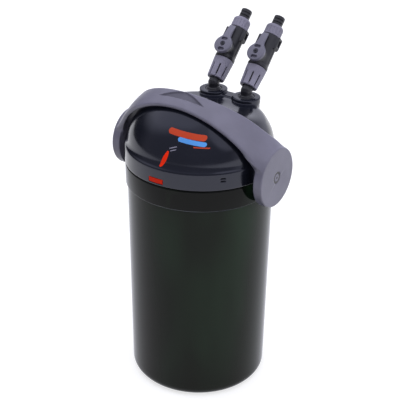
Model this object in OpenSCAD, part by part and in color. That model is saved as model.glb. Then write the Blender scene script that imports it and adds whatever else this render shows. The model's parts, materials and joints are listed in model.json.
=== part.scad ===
// Canister filter: tall tub with three media baskets, a pump head with a domed
// cover, a swinging handle and two swivelling hose taps.
// Origin: centre of the flat foot. +Z up, the front of the head faces -Y.

/* [Canister] */
// Radius of the tub just under its collar
can_r = 83.5; // [83:0.1:84]
// Radius of the tub at its foot
can_foot_r = 80.7; // [80:0.1:82]
// Radius of the wide collar at the mouth
collar_r = 85.7; // [85.2:0.1:86]
// Height at which the collar starts
collar_z = 250.5; // [246:0.5:253]
// Height of the rim
rim_z = 275.4; // [275.4:0.1:275.4]
// Radius of the bore in the mouth
mouth_r = 80.5; // [80.5:0.1:80.7]

/* [Handle] */
// Height of the pivot axis
pivot_z = 280.1; // [279.5:0.1:280.5]
// Forward lean of the handle at rest, in degrees
lean = 31; // [20:1:45]
// Half width of the arch, outside
arch_a = 100.8; // [99:0.1:101.2]
// Height of the arch over the pivot, outside
arch_b = 91.6; // [91.2:0.1:93]
// Half width of the strap at the top of the arch
strap_top = 12.2; // [9:0.1:13]
// Radius of the round end discs
disc_r = 33.9; // [32:0.1:36]
// Outer face of the discs, from the middle
disc_x = 101.8; // [101.5:0.1:104]

/* [Head] */
// Half width of the dome along the pivot axis
dome_a = 89.0; // [87:0.1:89.2]
// Radius of the dome around the pivot axis
dome_b = 84.4; // [83:0.1:84.6]
// Radius of the skirt above the seam
skirt_r = 85.0; // [84.8:0.1:85.2]
// Wall of the cover
cover_wall = 3; // [2.5:0.1:3.2]

/* [Taps] */
// Distance of each tap from the middle plane
tap_x = 22.5; // [22:0.5:24]
// Distance of the taps behind the pivot
tap_y = 58; // [57:0.5:59]
// Lean of the taps towards the back, in degrees
tap_lean = 45; // [40:1:50]
// Radius of the hose nozzle's lands
nozzle_r = 6.5; // [6:0.1:6.6]

/* [Baskets] */
// Outer radius of a basket
basket_r = 76.5; // [74:0.1:77]
// Height of a basket
basket_h = 72; // [68:1:72]

/* [Hidden] */

$fn = 96;
slop = 1;

tub_wall = 2.6;
foot_round = 12;
seat_ring_z = 12;
seat_ring_r = 62;

lug_drop = 18.5;
lug_r = 3;
lug_root = 82.5;
lug_hole_tip = 90;
lug_tip = 95;
groove_in = 15;
groove_out = 22;
disc_in = 91.3;
groove_floor = 96;
key_slot_w = 7;
spigot_r = 9;
spigot_tip = 96;
sleeve_r = 3;
sleeve_tip = 99;
boss_r = 14;
boss_tip = 91;
screw_head_r = 5.1;
screw_well_r = 6.3;
screw_seat = 99.3;
screw_r = 1.6;
screw_end = 84;
strap_thick = 4.5;
strap_shift = 6.9;
strap_flare = 11.2;
strap_start = 22.5;

seam_z = 276;
skirt_top = 293.5;
ear_w = 20;
ear_h = 30;
ear_out = 1.4;
side_r = 84.3;
collar_top = 338.6;
socket_r = 16.4;
socket_step_r = 15.8;
socket_step_z = 331;
socket_low = 312;
web_top = 336;
shank_r = 9.4;
running = 0.05;
button_z = 279;
button_h = 5;
button_w = 18;
inlet_z = 290;
inlet_r = 6.5;

base_r = 79.9;
base_low = 254;
base_floor = 257;
base_bore = 75.5;
duct_z = 247.2;
flange_r = 81.7;
flange_top = 278.4;
seal_z = 263.7;
screw_circle = 68;
riser_r = 12;
riser_bore = 8;
riser_top = 311.7;

chamber_r = 22;
chamber_low = 240;
can_out = 13;
can_in = 10.6;
can_top = 300;
shaft_r = 1.5;
wheel_z = 243;
wheel_r = 16;
pump_low = 236.5;
pump_screw_circle = 20.2;

elbow_z = 345.4;
tube_r = 6.2;
tube_bore = 4.5;
nut_low = 4.7;
nut_top = 29.9;
body_low = 12;
body_start = 30.3;
body_top = 71;
cap_low = 71.3;
cap_top = 85.2;
tip = 97.2;
stem = 42;
stem_face = 13.5;
plug_r = 7;
lever_r = 10.9;
lever_reach = 28.4;
lever_half = 4.2;

basket_wall = 1.6;
basket_floor = 2;
duct_r = 10;
bail_r = 66;
bail_rod = 1.8;
bail_drop = 5.5;
holes_per_ring = [8, 14, 20, 26];
hole_ring_step = 14;
hole_r = 3.2;

// Points of an ellipse with half axis a along the turning axis and b across it.
function ellipse_arc(a, b, from, to, n) =
    [for (i = [0 : n]) let (t = from + (to - from) * i / n) [b * cos(t), a * sin(t)]];

// Turns a profile of [radius, x] points around the X axis.
module turn_x() {
    rotate([0, 90, 0]) rotate_extrude() children();
}

// A cylinder along X from x0 to x1.
module rod_x(r, x0, x1) {
    translate([min(x0, x1), 0, 0]) rotate([0, 90, 0]) cylinder(r = r, h = abs(x1 - x0));
}

module tube(r, bore, z0, z1) {
    difference() {
        translate([0, 0, z0]) cylinder(r = r, h = z1 - z0);
        translate([0, 0, z0 - slop]) cylinder(r = bore, h = z1 - z0 + 2 * slop);
    }
}

module at_pivot() {
    translate([0, 0, pivot_z]) children();
}

module at_tap(side) {
    translate([side * tap_x, tap_y, elbow_z]) rotate([-tap_lean, 0, 0]) children();
}

/* ---------- canister ---------- */

module canister_profile() {
    inner_foot = foot_round - tub_wall;
    outer = [for (i = [0 : 6]) let (t = -90 + 15 * i)
        [can_foot_r - foot_round + foot_round * cos(t), foot_round + foot_round * sin(t)]];
    inner = [for (i = [0 : 6]) let (t = -15 * i)
        [can_foot_r - foot_round + inner_foot * cos(t), foot_round + inner_foot * sin(t)]];
    polygon(concat([[0, 0]], outer,
        [[can_r, collar_z], [collar_r, collar_z + 1.2], [collar_r, rim_z - 1.6],
         [collar_r - 1.6, rim_z], [mouth_r, rim_z], [mouth_r, collar_z - 3]],
        inner, [[0, tub_wall]]));
}

module canister() {
    color("#2b322c") {
        difference() {
            rotate_extrude() canister_profile();
            for (side = [-1, 1])
                translate([0, 0, pivot_z - lug_drop]) rod_x(lug_r, side * lug_root, side * lug_hole_tip);
        }
        difference() {
            translate([0, 0, tub_wall]) cylinder(r = seat_ring_r, h = seat_ring_z - tub_wall);
            cylinder(r = seat_ring_r - 3, h = seat_ring_z + slop);
            for (a = [0 : 60 : 300])
                rotate([0, 0, a]) translate([seat_ring_r, 0, seat_ring_z])
                    cube([20, 14, 10], center = true);
        }
    }
}

// Two steel pins set in the collar, which the ring grooves of the handle discs run over.
module lug_pins() {
    color("#b9bcc2") for (side = [-1, 1])
        translate([0, 0, pivot_z - lug_drop]) rod_x(lug_r - running, side * lug_root, side * lug_tip);
}

/* ---------- handle ---------- */

module strap_section() {
    inner_a = arch_a - strap_thick;
    inner_b = arch_b - strap_thick;
    out_t = acos(46 / arch_b);
    in_t = acos(strap_start / inner_b);
    gusset = [[40, 92.8], [disc_r, 97.2], [strap_start, groove_floor]];
    polygon(concat(ellipse_arc(arch_a, arch_b, -out_t, out_t, 40), gusset,
        ellipse_arc(inner_a, inner_b, in_t, -in_t, 48),
        [for (i = [2 : -1 : 0]) [gusset[i][0], -gusset[i][1]]]));
}

module strap_plan() {
    edge = [for (i = [-12 : 12]) let (x = 8.5 * i)
        [x, strap_top + strap_flare * x * x / arch_a / arch_a]];
    polygon(concat([for (p = edge) [p[0], strap_shift + p[1]]],
        [for (i = [len(edge) - 1 : -1 : 0]) [edge[i][0], strap_shift - edge[i][1]]]));
}

module disc_section() {
    polygon([[0, disc_in], [disc_r, disc_in], [disc_r, disc_x - 2.4], [disc_r - 0.7, disc_x - 0.8],
        [disc_r - 2.4, disc_x], [0, disc_x]]);
}

module handle() {
    color("#7c7a8a") at_pivot() rotate([lean, 0, 0]) difference() {
        union() {
            intersection() {
                turn_x() strap_section();
                linear_extrude(height = 100) strap_plan();
            }
            for (side = [0, 180])
                rotate([0, 0, side]) turn_x() disc_section();
        }
        for (side = [-1, 1]) {
            rod_x(spigot_r + running, side * (disc_in - slop), side * (spigot_tip + 0.3));
            rod_x(sleeve_r + running, side * spigot_tip, side * (sleeve_tip + 0.5));
            rod_x(screw_well_r, side * sleeve_tip, side * (disc_x + slop));
            difference() {
                rod_x(groove_out, side * (disc_in - slop), side * groove_floor);
                rod_x(groove_in, side * (disc_in - 2 * slop), side * (groove_floor + slop));
            }
            rotate([-lean, 0, 0])
                translate([side * (disc_in + groove_floor - slop) / 2, 0, -groove_in - 15])
                    cube([groove_floor - disc_in + slop, key_slot_w, 30], center = true);
        }
    }
}

module pivot_screws() {
    color("#7c7a8a") for (side = [-1, 1]) at_pivot() difference() {
        union() {
            rod_x(screw_head_r, side * screw_seat, side * (disc_x - 0.4));
            rod_x(screw_r, side * screw_end, side * screw_seat);
        }
        rod_x(1, side * (disc_x - 1.6), side * disc_x);
    }
}

/* ---------- head ---------- */

// Round dome about the pivot axis, pulled in by off on every side.
module dome(off) {
    intersection() {
        at_pivot() turn_x()
            polygon(ellipse_arc(dome_a - off, dome_b - off, -90, 90, 48));
        translate([0, 0, seam_z - 6]) cylinder(r = side_r - off, h = 110);
    }
}

// Lower shoulder of the back half, and the slope that joins it to the dome.
module shoulder(off) {
    rotate_extrude() polygon([[0, seam_z - 6], [side_r - off, seam_z - 6], [side_r - off, 299 - off],
        [83.3 - off, 305.4 - off], [81.8 - off, 313.4 - off], [79.5 - off, 321 - off],
        [76 - off, 327.5 - off], [70.5 - off, 332 - off], [62 - off, 334 - off],
        [40 - off, 335.3 - off], [0, 336 - off]]);
    translate([-100, 0, 0]) rotate([90, 0, 90]) linear_extrude(height = 200)
        polygon([[-100, seam_z - 6], [-100, 380], [-38, 380], [-38, 355.5 - off], [40, 326.6 - off],
            [40, seam_z - 6]]);
}

module head_form(off) {
    intersection() {
        dome(off);
        shoulder(off);
    }
}

module sockets() {
    for (side = [-1, 1]) translate([side * tap_x, tap_y, 0]) {
        translate([0, 0, socket_step_z]) cylinder(r = socket_r, h = collar_top - socket_step_z - 1);
        translate([0, 0, collar_top - 1]) cylinder(r1 = socket_r, r2 = socket_r - 1, h = 1);
        translate([0, 0, socket_low]) cylinder(r = socket_step_r, h = socket_step_z - socket_low);
        tube(socket_step_r, riser_r + 0.4, socket_low - 14, socket_low);
    }
    translate([-tap_x, tap_y - 8, socket_low]) cube([2 * tap_x, 16, web_top - socket_low]);
}

module screw_places() {
    for (a = [45 : 90 : 315]) rotate([0, 0, a]) translate([screw_circle, 0, 0]) children();
}

// Shoulder of the cover beside each pivot. It stays inside the sweep of the arch.
module ear(side) {
    intersection() {
        translate([side * 85.3 - 5.3, -ear_w, seam_z]) cube([10.6, 2 * ear_w, ear_h]);
        at_pivot() turn_x()
            polygon(ellipse_arc(dome_a + ear_out, dome_b + ear_out, -90, 90, 48));
    }
}

module pivot_bosses() {
    difference() {
        for (side = [-1, 1]) {
            at_pivot() {
                rod_x(boss_r, side * 80, side * boss_tip);
                rod_x(spigot_r, side * (boss_tip - slop), side * spigot_tip);
                rod_x(sleeve_r, side * (spigot_tip - slop), side * sleeve_tip);
            }
            ear(side);
        }
        translate([0, 0, 250]) cylinder(r = collar_r + 0.5, h = seam_z - 250);
        translate([0, 0, 250]) cylinder(r = flange_r + 0.3, h = flange_top + 1.4 - 250);
    }
}

module head_cover() {
    color("#22232a") difference() {
        union() {
            difference() {
                union() {
                    head_form(0);
                    rotate_extrude() polygon([[0, seam_z - 6], [skirt_r, seam_z - 6],
                        [skirt_r, skirt_top], [skirt_r - 0.7, skirt_top + 1.6],
                        [side_r - 2, skirt_top + 2], [0, skirt_top + 2]]);
                }
                difference() {
                    union() {
                        head_form(cover_wall);
                        translate([0, 0, seam_z - 7]) cylinder(r = side_r - cover_wall, h = 14);
                    }
                    sockets();
                }
                translate([0, 0, seam_z - 7]) cylinder(r = 100, h = 7);
                translate([0, 0, seam_z - slop]) cylinder(r = flange_r + 0.3, h = flange_top - seam_z + 1.4);
            }
            sockets();
            pivot_bosses();
            intersection() {
                screw_places() cylinder(r = 4.5, h = 380);
                union() {
                    head_form(1);
                    translate([0, 0, base_floor]) cylinder(r = 78, h = 30);
                }
                translate([-100, -100, base_floor]) cube([200, 200, 100]);
            }
        }
        for (side = [-1, 1]) {
            translate([side * tap_x, tap_y, socket_low - 20]) cylinder(r = shank_r + running, h = 60);
            at_pivot() rod_x(screw_r, side * screw_end, side * 110);
        }
        screw_places() translate([0, 0, base_floor - slop]) cylinder(r = 1.5, h = 13 + slop);
        translate([-button_w / 2 - 0.2, -90, button_z - 0.2]) cube([button_w + 0.4, 14, button_h + 0.4]);
        translate([0, 60, inlet_z]) rotate([-90, 0, 0]) cylinder(r = inlet_r, h = 40);
    }
}

module release_button() {
    color("#d8321e") difference() {
        intersection() {
            translate([0, 0, button_z]) cylinder(r = skirt_r + 0.7, h = button_h);
            translate([-button_w / 2, -100, button_z - 9]) cube([button_w, 30, 20]);
        }
        translate([0, 0, button_z - 9]) cylinder(r = 80, h = 20);
    }
}

// A round wire swept along a coil around the Y axis.
module coil_y(r, wire, length, turns, per_turn, sides) {
    n = turns * per_turn;
    rings = [for (i = [0 : n]) let (t = 360 * i / per_turn, y = length * i / n)
        for (k = [0 : sides - 1]) let (s = 360 * k / sides, q = r + wire * cos(s))
            [q * cos(t), y + wire * sin(s), q * sin(t)]];
    skin = [for (i = [0 : n - 1]) for (k = [0 : sides - 1]) let (j = (k + 1) % sides)
        [i * sides + k, i * sides + j, (i + 1) * sides + j, (i + 1) * sides + k]];
    ends = [[for (k = [sides - 1 : -1 : 0]) k], [for (k = [0 : sides - 1]) n * sides + k]];
    polyhedron(points = rings, faces = concat(skin, ends), convexity = 6);
}

module button_spring() {
    color("#b9bcc2") translate([0, -77.4, 283]) coil_y(2.4, 0.4, 10.8, 5, 12, 6);
}

module cord_gland() {
    color("#1b1b1e") difference() {
        translate([0, 0, inlet_z]) rotate([-90, 0, 0]) union() {
            translate([0, 0, 76]) cylinder(r = inlet_r - running, h = 10);
            translate([0, 0, 76]) cylinder(r = 8.5, h = 2.5);
            translate([0, 0, 86]) cylinder(r1 = 8, r2 = 6, h = 5);
        }
        translate([0, 70, inlet_z]) rotate([-90, 0, 0]) cylinder(r = 3.4, h = 30);
    }
}

module head_base() {
    color("#33353a") difference() {
        union() {
            difference() {
                union() {
                    translate([0, 0, base_low]) cylinder(r = base_r, h = rim_z - base_low);
                    translate([0, 0, rim_z]) cylinder(r = flange_r, h = flange_top - rim_z);
                }
                translate([0, 0, base_floor]) cylinder(r = base_bore, h = 40);
            }
            translate([0, 0, chamber_low]) cylinder(r = chamber_r, h = base_floor - chamber_low);
            translate([0, 0, base_floor]) cylinder(r = can_out, h = can_top - base_floor);
            for (side = [-1, 1])
                translate([side * tap_x, tap_y, chamber_low])
                    cylinder(r = riser_r, h = riser_top - chamber_low);
            translate([0, 0, duct_z]) rotate([0, 0, atan2(tap_x, tap_y)])
                rotate([-90, 0, 0]) cylinder(r = 7, h = norm([tap_x, tap_y]));
            translate([-5, -66, base_floor]) cube([10, 3, 31]);
        }
        translate([0, 0, chamber_low - slop]) cylinder(r = 18.5, h = 12);
        translate([0, 0, chamber_low]) cylinder(r = can_in, h = can_top - 4 - chamber_low);
        for (side = [-1, 1])
            translate([side * tap_x, tap_y, chamber_low + (side < 0 ? 2.5 : -slop)])
                cylinder(r = riser_bore, h = 100);
        translate([tap_x, tap_y, chamber_low - slop]) cylinder(r = 8.6, h = 13);
        translate([0, 0, duct_z]) rotate([0, 0, atan2(tap_x, tap_y)])
            rotate([-90, 0, 0]) cylinder(r = 4, h = norm([tap_x, tap_y]));
        tube(base_r + 5, base_r - 2.3, seal_z - 1.6, seal_z + 1.6);
        screw_places() translate([0, 0, base_low - slop]) cylinder(r = 1.9, h = 6);
        for (a = [30 : 120 : 270]) rotate([0, 0, a])
            translate([pump_screw_circle, 0, chamber_low - slop]) cylinder(r = 1, h = 9);
    }
}

module sealing_ring() {
    color("#141416") translate([0, 0, seal_z]) rotate_extrude()
        translate([base_r - 0.95, 0]) circle(r = 1.3, $fn = 32);
}

// Pan-head screw standing on z0 with its shank going up.
module screw_up(head_r, head_h, shank, length) {
    difference() {
        cylinder(r = head_r, h = head_h);
        translate([-0.5, -head_r - slop, -slop]) cube([1, 2 * head_r + 2 * slop, 1 + slop]);
    }
    translate([0, 0, head_h]) cylinder(r = shank, h = length);
}

module cover_screws() {
    color("#8d9096") screw_places() translate([0, 0, base_low - 2.4]) screw_up(3.4, 2.4, 1.5, 15);
}

module stator_core() {
    color("#5d5f66") difference() {
        translate([-24, -22, base_floor + 2]) cube([48, 44, 34]);
        translate([0, 0, base_floor]) cylinder(r = can_out + 0.4, h = 60);
        for (side = [-1, 1]) translate([side * 26 - 8, -12, base_floor + 10]) cube([16, 24, 18]);
    }
}

module stator_coils() {
    color("#a8612c") for (side = [-1, 1])
        translate([side * 24.5, 0, base_floor + 19]) rotate([0, 90, 0])
            cylinder(r = 8.6, h = 12.8, center = true);
}

module impeller_shaft() {
    color("#d9dadd") translate([0, 0, 237.5]) cylinder(r = shaft_r, h = 58);
}

module shaft_bush_upper() {
    color("#202024") tube(can_in, shaft_r, 292, 296);
}

module shaft_bush_lower() {
    color("#202024") tube(3.4, shaft_r, 237, 241);
}

module impeller_magnet() {
    color("#2a2a2e") tube(9.6, shaft_r + running, 256, 290);
}

module impeller_wheel() {
    color("#c9cdd2") difference() {
        union() {
            translate([0, 0, wheel_z]) cylinder(r = 5, h = 13);
            translate([0, 0, wheel_z + 6]) cylinder(r = wheel_r, h = 1.6);
            for (a = [0 : 60 : 300])
                rotate([0, 0, a]) translate([0, -0.8, wheel_z]) cube([wheel_r - 0.5, 1.6, 6.5]);
        }
        translate([0, 0, 240]) cylinder(r = shaft_r + running, h = 30);
    }
}

module pump_cover() {
    color("#3b3d43") difference() {
        translate([0, 0, pump_low]) cylinder(r = chamber_r, h = chamber_low - pump_low);
        for (a = [0 : 60 : 300]) rotate([0, 0, a]) translate([8.5, 0, 230]) cylinder(r = 3, h = 20);
        translate([0, 0, 230]) cylinder(r = 3.4, h = 20);
        for (a = [30 : 120 : 270])
            rotate([0, 0, a]) translate([pump_screw_circle, 0, 230]) cylinder(r = 1, h = 20);
    }
    color("#3b3d43") tube(5, 3.4, pump_low, 241);
}

module pump_cover_screws() {
    color("#8d9096") for (a = [30 : 120 : 270]) rotate([0, 0, a])
        translate([pump_screw_circle, 0, pump_low - 1.4]) screw_up(1.7, 1.4, 1, 9);
}

module intake_tube() {
    color("#3b3d43") translate([tap_x, tap_y, 0]) {
        tube(8.5, 7.1, 14, chamber_low + 10);
        tube(riser_r, 8.5, chamber_low - 3, chamber_low);
    }
}

/* ---------- taps ---------- */

module elbow(side) {
    color("#26262b") difference() {
        union() {
            at_tap(side) {
                cylinder(r = tube_r, h = body_low - 3);
                translate([0, 0, body_low - 3]) cylinder(r = 8.2, h = 2.8);
            }
            translate([side * tap_x, tap_y, 0]) {
                translate([0, 0, elbow_z]) sphere(r = tube_r + 0.2);
                translate([0, 0, 320]) cylinder(r = tube_r, h = elbow_z - 320);
                translate([0, 0, 320]) cylinder(r = shank_r, h = collar_top - 320);
                translate([0, 0, collar_top]) cylinder(r1 = 8.4, r2 = tube_r, h = 1.6);
            }
        }
        at_tap(side) cylinder(r = tube_bore, h = 20);
        translate([side * tap_x, tap_y, 0]) {
            translate([0, 0, elbow_z]) sphere(r = tube_bore + 0.2);
            translate([0, 0, 310]) cylinder(r = tube_bore, h = elbow_z - 310);
            tube(shank_r + 5, 6.9, 324.7, 327.3);
        }
    }
}

module elbow_seal(side) {
    color("#141416") translate([side * tap_x, tap_y, 326]) rotate_extrude()
        translate([8.2, 0]) circle(r = 1.2, $fn = 24);
}

module union_nut(side) {
    flutes = 8;
    color("#7c7a8a") at_tap(side) difference() {
        union() {
            translate([0, 0, nut_low]) cylinder(r1 = 10.6, r2 = 12.1, h = nut_top - nut_low - 1);
            translate([0, 0, nut_top - 1]) cylinder(r1 = 12.1, r2 = 11.4, h = 1);
        }
        translate([0, 0, nut_low - slop]) cylinder(r = 6.8, h = 30);
        translate([0, 0, 8.6]) cylinder(r = 8.6, h = 30);
        translate([0, 0, body_low]) cylinder(r = 9.5 + running, h = 30);
        for (i = [0 : flutes - 1]) rotate([0, 0, 360 / flutes * (i + 0.5)])
            translate([12.1, 0, nut_low + 6.5]) rotate([0, -3.5, 0]) cube([2.8, 2, 17], center = true);
    }
}

module tap_body(side) {
    color("#26262b") at_tap(side) difference() {
        union() {
            translate([0, 0, body_low]) cylinder(r = 9.5, h = body_start - body_low);
            translate([0, 0, body_start]) cylinder(r = 12, h = 3);
            translate([0, 0, body_start + 3]) cylinder(r1 = 11.6, r2 = 10.9, h = body_top - body_start - 3);
            translate([0, 0, body_top]) cylinder(r = 8.5, h = 9);
            translate([0, 0, stem]) rotate([90, 0, 0]) cylinder(r = 9.4, h = stem_face);
            for (s = [-1, 1]) translate([s * 11.6 - 2.4, -4, 55]) cube([4.8, 8, body_top - 55]);
        }
        translate([0, 0, body_low - slop]) cylinder(r = 5, h = 80);
        translate([0, 9, stem]) rotate([90, 0, 0]) cylinder(r = plug_r + running, h = 30);
        for (s = [-1, 1]) translate([s * 12.6 - 1.5, -2.5, 60]) cube([3, 5, 12]);
    }
}

module tap_plug(side) {
    color("#d5d7da") at_tap(side) difference() {
        translate([0, 8.8, stem]) rotate([90, 0, 0]) cylinder(r = plug_r, h = 8.8 + stem_face - 0.3);
        translate([0, 0, stem - 10]) cylinder(r = 4.8, h = 20);
        translate([0, 0, stem]) rotate([90, 0, 0]) cylinder(r = 1.2, h = 30);
    }
}

module tap_lever(side) {
    color("#7c7a8a") at_tap(side) translate([0, -stem_face - 0.3, stem]) rotate([90, 0, 0]) difference() {
        union() {
            cylinder(r = lever_r, h = 4);
            translate([0, 0, 4]) cylinder(r1 = lever_r, r2 = lever_r - 1, h = 1);
            linear_extrude(height = 4.6) polygon([[-8.9, 6], [-5, 15], [-lever_half, 21],
                [-lever_half, lever_reach], [lever_half, lever_reach], [lever_half, 21], [5, 15], [8.9, 6]]);
        }
        for (s = [-1, 1]) translate([0, 6.4 * s, 3.6]) union() {
            for (dx = [-1.6, 1.6]) translate([dx, 0, 0]) cylinder(r = 1.7, h = 3);
            translate([-1.6, -1.7, 0]) cube([3.2, 3.4, 3]);
        }
        translate([0, 0, -slop]) cylinder(r = 1.2, h = 10);
        translate([0, 0, 3.4]) cylinder(r = 2.4, h = 3);
    }
}

module lever_screw(side) {
    color("#8d9096") at_tap(side) translate([0, -stem_face - 0.3, stem]) rotate([90, 0, 0]) difference() {
        union() {
            translate([0, 0, 3.4]) cylinder(r = 2.3, h = 1.3);
            translate([0, 0, -8]) cylinder(r = 1.2, h = 11.4);
        }
        for (a = [0, 90]) rotate([0, 0, a]) translate([-1.6, -0.35, 4]) cube([3.2, 0.7, 1]);
    }
}

module cap_nut(side) {
    ribs = 12;
    color("#7c7a8a") at_tap(side) difference() {
        union() {
            translate([0, 0, cap_low]) cylinder(r = 10.4, h = 10.6);
            translate([0, 0, cap_low + 10.6]) cylinder(r1 = 10.4, r2 = 8.6, h = cap_top - cap_low - 10.6);
        }
        translate([0, 0, cap_low - slop]) cylinder(r = 8.55, h = slop + 82.8 - cap_low);
        translate([0, 0, 80]) cylinder(r = 6.9, h = 10);
        for (i = [0 : ribs - 1]) rotate([0, 0, 360 / ribs * i])
            translate([10.5, 0, cap_low + 4.9]) cube([0.8, 1.1, 9.9], center = true);
    }
}

module hose_nozzle(side) {
    color("#26262b") at_tap(side) difference() {
        union() {
            translate([0, 0, body_top + 9]) cylinder(r = 8, h = 2.5);
            translate([0, 0, body_top + 9]) cylinder(r = nozzle_r - 0.3, h = 8);
            translate([0, 0, cap_top + 0.2]) cylinder(r = nozzle_r, h = tip - cap_top - 1.2);
            translate([0, 0, tip - 1]) cylinder(r1 = nozzle_r, r2 = nozzle_r - 0.8, h = 1);
        }
        translate([0, 0, body_top]) cylinder(r = tube_bore, h = 40);
        for (z = [88, 92]) tube(nozzle_r + 3, nozzle_r - 0.6, z, z + 1.1);
    }
}

/* ---------- baskets ---------- */

module basket(level) {
    color("#3f7f8f") translate([0, 0, seat_ring_z + level * basket_h]) difference() {
        union() {
            difference() {
                cylinder(r = basket_r, h = basket_h);
                translate([0, 0, basket_floor]) cylinder(r = basket_r - basket_wall, h = basket_h);
            }
            translate([tap_x, tap_y, 0]) cylinder(r = duct_r + 1.4, h = basket_h);
        }
        translate([tap_x, tap_y, -slop]) cylinder(r = duct_r, h = basket_h + 2 * slop);
        for (ring = [0 : len(holes_per_ring) - 1]) for (i = [0 : holes_per_ring[ring] - 1]) {
            a = 360 * i / holes_per_ring[ring];
            x = hole_ring_step * (ring + 1.2) * cos(a);
            y = hole_ring_step * (ring + 1.2) * sin(a);
            if (norm([x - tap_x, y - tap_y]) > duct_r + hole_r + 2.4)
                translate([x, y, -slop]) cylinder(r = hole_r, h = basket_floor + 2 * slop);
        }
        translate([0, 0, basket_h - bail_drop]) rod_x(bail_rod + running, -basket_r - slop, basket_r + slop);
    }
}

// Carrying bail, folded down towards the front.
module basket_bail(level) {
    color("#d8d8d4") translate([0, 0, seat_ring_z + (level + 1) * basket_h - bail_drop]) {
        rotate([0, 0, 180]) rotate_extrude(angle = 180) translate([bail_r, 0]) circle(r = bail_rod, $fn = 24);
        for (side = [-1, 1]) rod_x(bail_rod, side * bail_r, side * (basket_r - 0.2));
    }
}

module media(level, top) {
    z = seat_ring_z + level * basket_h;
    difference() {
        translate([0, 0, z + basket_floor]) cylinder(r = basket_r - basket_wall - 0.3, h = top);
        translate([tap_x, tap_y, z]) cylinder(r = duct_r + 1.7, h = basket_h);
    }
}

module ceramic_media() {
    color("#d9cdb8") media(0, 58);
}

module coarse_sponge() {
    color("#2f6fb0") media(1, 58);
}

module fine_pad() {
    color("#ecebe6") media(2, 58);
}

canister();
lug_pins();
head_cover();
head_base();
sealing_ring();
cover_screws();
handle();
pivot_screws();
release_button();
button_spring();
cord_gland();
stator_core();
stator_coils();
impeller_shaft();
shaft_bush_upper();
shaft_bush_lower();
impeller_magnet();
impeller_wheel();
pump_cover();
pump_cover_screws();
intake_tube();
elbow(-1);  // elbow_left
elbow(1);  // elbow_right
elbow_seal(-1);  // elbow_seal_left
elbow_seal(1);  // elbow_seal_right
union_nut(-1);  // union_nut_left
union_nut(1);  // union_nut_right
tap_body(-1);  // tap_body_left
tap_body(1);  // tap_body_right
tap_plug(-1);  // tap_plug_left
tap_plug(1);  // tap_plug_right
tap_lever(-1);  // tap_lever_left
tap_lever(1);  // tap_lever_right
lever_screw(-1);  // lever_screw_left
lever_screw(1);  // lever_screw_right
cap_nut(-1);  // cap_nut_left
cap_nut(1);  // cap_nut_right
hose_nozzle(-1);  // hose_nozzle_left
hose_nozzle(1);  // hose_nozzle_right
basket(0);  // basket_lower
basket(1);  // basket_middle
basket(2);  // basket_upper
basket_bail(0);  // basket_bail_lower
basket_bail(1);  // basket_bail_middle
basket_bail(2);  // basket_bail_upper
ceramic_media();
coarse_sponge();
fine_pad();
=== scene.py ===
"""Canister filter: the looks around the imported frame. Fields and profiles are in millimetres,
and every mesh is scaled to metres when it is made."""

import json
import math
import random

import bpy
import numpy as np
from mathutils import Matrix, Vector


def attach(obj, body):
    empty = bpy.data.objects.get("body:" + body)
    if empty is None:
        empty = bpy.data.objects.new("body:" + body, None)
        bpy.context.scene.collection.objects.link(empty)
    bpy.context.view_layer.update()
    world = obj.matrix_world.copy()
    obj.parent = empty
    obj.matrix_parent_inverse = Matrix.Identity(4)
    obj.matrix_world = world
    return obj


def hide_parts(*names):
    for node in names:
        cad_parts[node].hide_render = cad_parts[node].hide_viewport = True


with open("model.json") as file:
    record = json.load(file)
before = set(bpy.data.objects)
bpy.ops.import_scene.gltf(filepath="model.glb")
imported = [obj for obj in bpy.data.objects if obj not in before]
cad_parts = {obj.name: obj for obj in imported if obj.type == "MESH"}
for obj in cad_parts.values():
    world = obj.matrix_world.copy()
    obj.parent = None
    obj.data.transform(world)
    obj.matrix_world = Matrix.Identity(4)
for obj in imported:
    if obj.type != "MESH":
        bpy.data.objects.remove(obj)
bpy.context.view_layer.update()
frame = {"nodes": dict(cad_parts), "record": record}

MM = 0.001

# Places and sizes, as in the design
PIVOT_Z = 280.1
LEAN = math.radians(31)
ARCH = (100.8, 91.6)
ARCH_INSIDE = (96.3, 87.1)
STRAP_TOP, STRAP_FLARE, STRAP_SHIFT = 12.2, 11.2, 6.9
DISC_R, DISC_IN, DISC_OUT = 33.9, 91.3, 101.8
RING_IN, RING_OUT, RING_FLOOR, ENTRY_HALF = 15, 22, 96, 3.5
DISH_R, DISH_AWAY = 131.2, 130.4
DOME = (89.0, 84.4)
SIDE_R, SKIRT_R, SEAM_Z, SKIRT_TOP = 84.3, 85.0, 276.0, 295.2
LIP_SLOPE = (0.92, 0.39)
WALL = 3.0
EAR_X, EAR_Z, EAR_HALF, EAR_REACH = 78, 291, (12.9, 20.5, 15.5), (90.3, 85.7)
HUB_R, PIN_R = 14, 9
WINDOW_Y, WINDOW_Z, WINDOW_HALF = -85, 281.5, (9.2, 9, 2.75)
MARK_X, MARK_Y, MARK_ZS, MARK_HALF = 66, -53.5, (286.9, 290.0), (2.6, 2.6, 0.6)
GLAND_R, GLAND_Z, GLAND_FRONT = 6.5, 290, 60
TAP_X, TAP_Y, ELBOW_Z = 22.5, 58.0, 345.4
SOCKET_R, SOCKET_TOP = 16.4, 338.6
STEP_R, STEP_TOP = 15.8, 331.0
SHANK_R = 9.4
STEP_LOW, WEB_Z = 298, 322
GRIP_HALF, GRIP_EDGE, GRIP_WIDE, GRIP_DEPTH = 31.0, 6.5, 12.0, 1.8
SCREW_HEAD, SCREW_WELL, SCREW_FACE, SCREW_SEAT, SCREW_HOLE = 4.5, 6.8, 101.4, 99.3, 1.4
MEDIA_R, DUCT_R = 74.6, 11.7
SPONGE_Z, FLEECE_Z = (86.0, 144.0), (158.0, 216.0)
STEM, STEM_FACE = 42.0, 13.5
LEVER_R, LEVER_REACH = 10.9, 28.4
PIPE_R, NOZZLE_R, NOZZLE_GROOVE_R = 6.2, 6.5, 5.4
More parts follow.
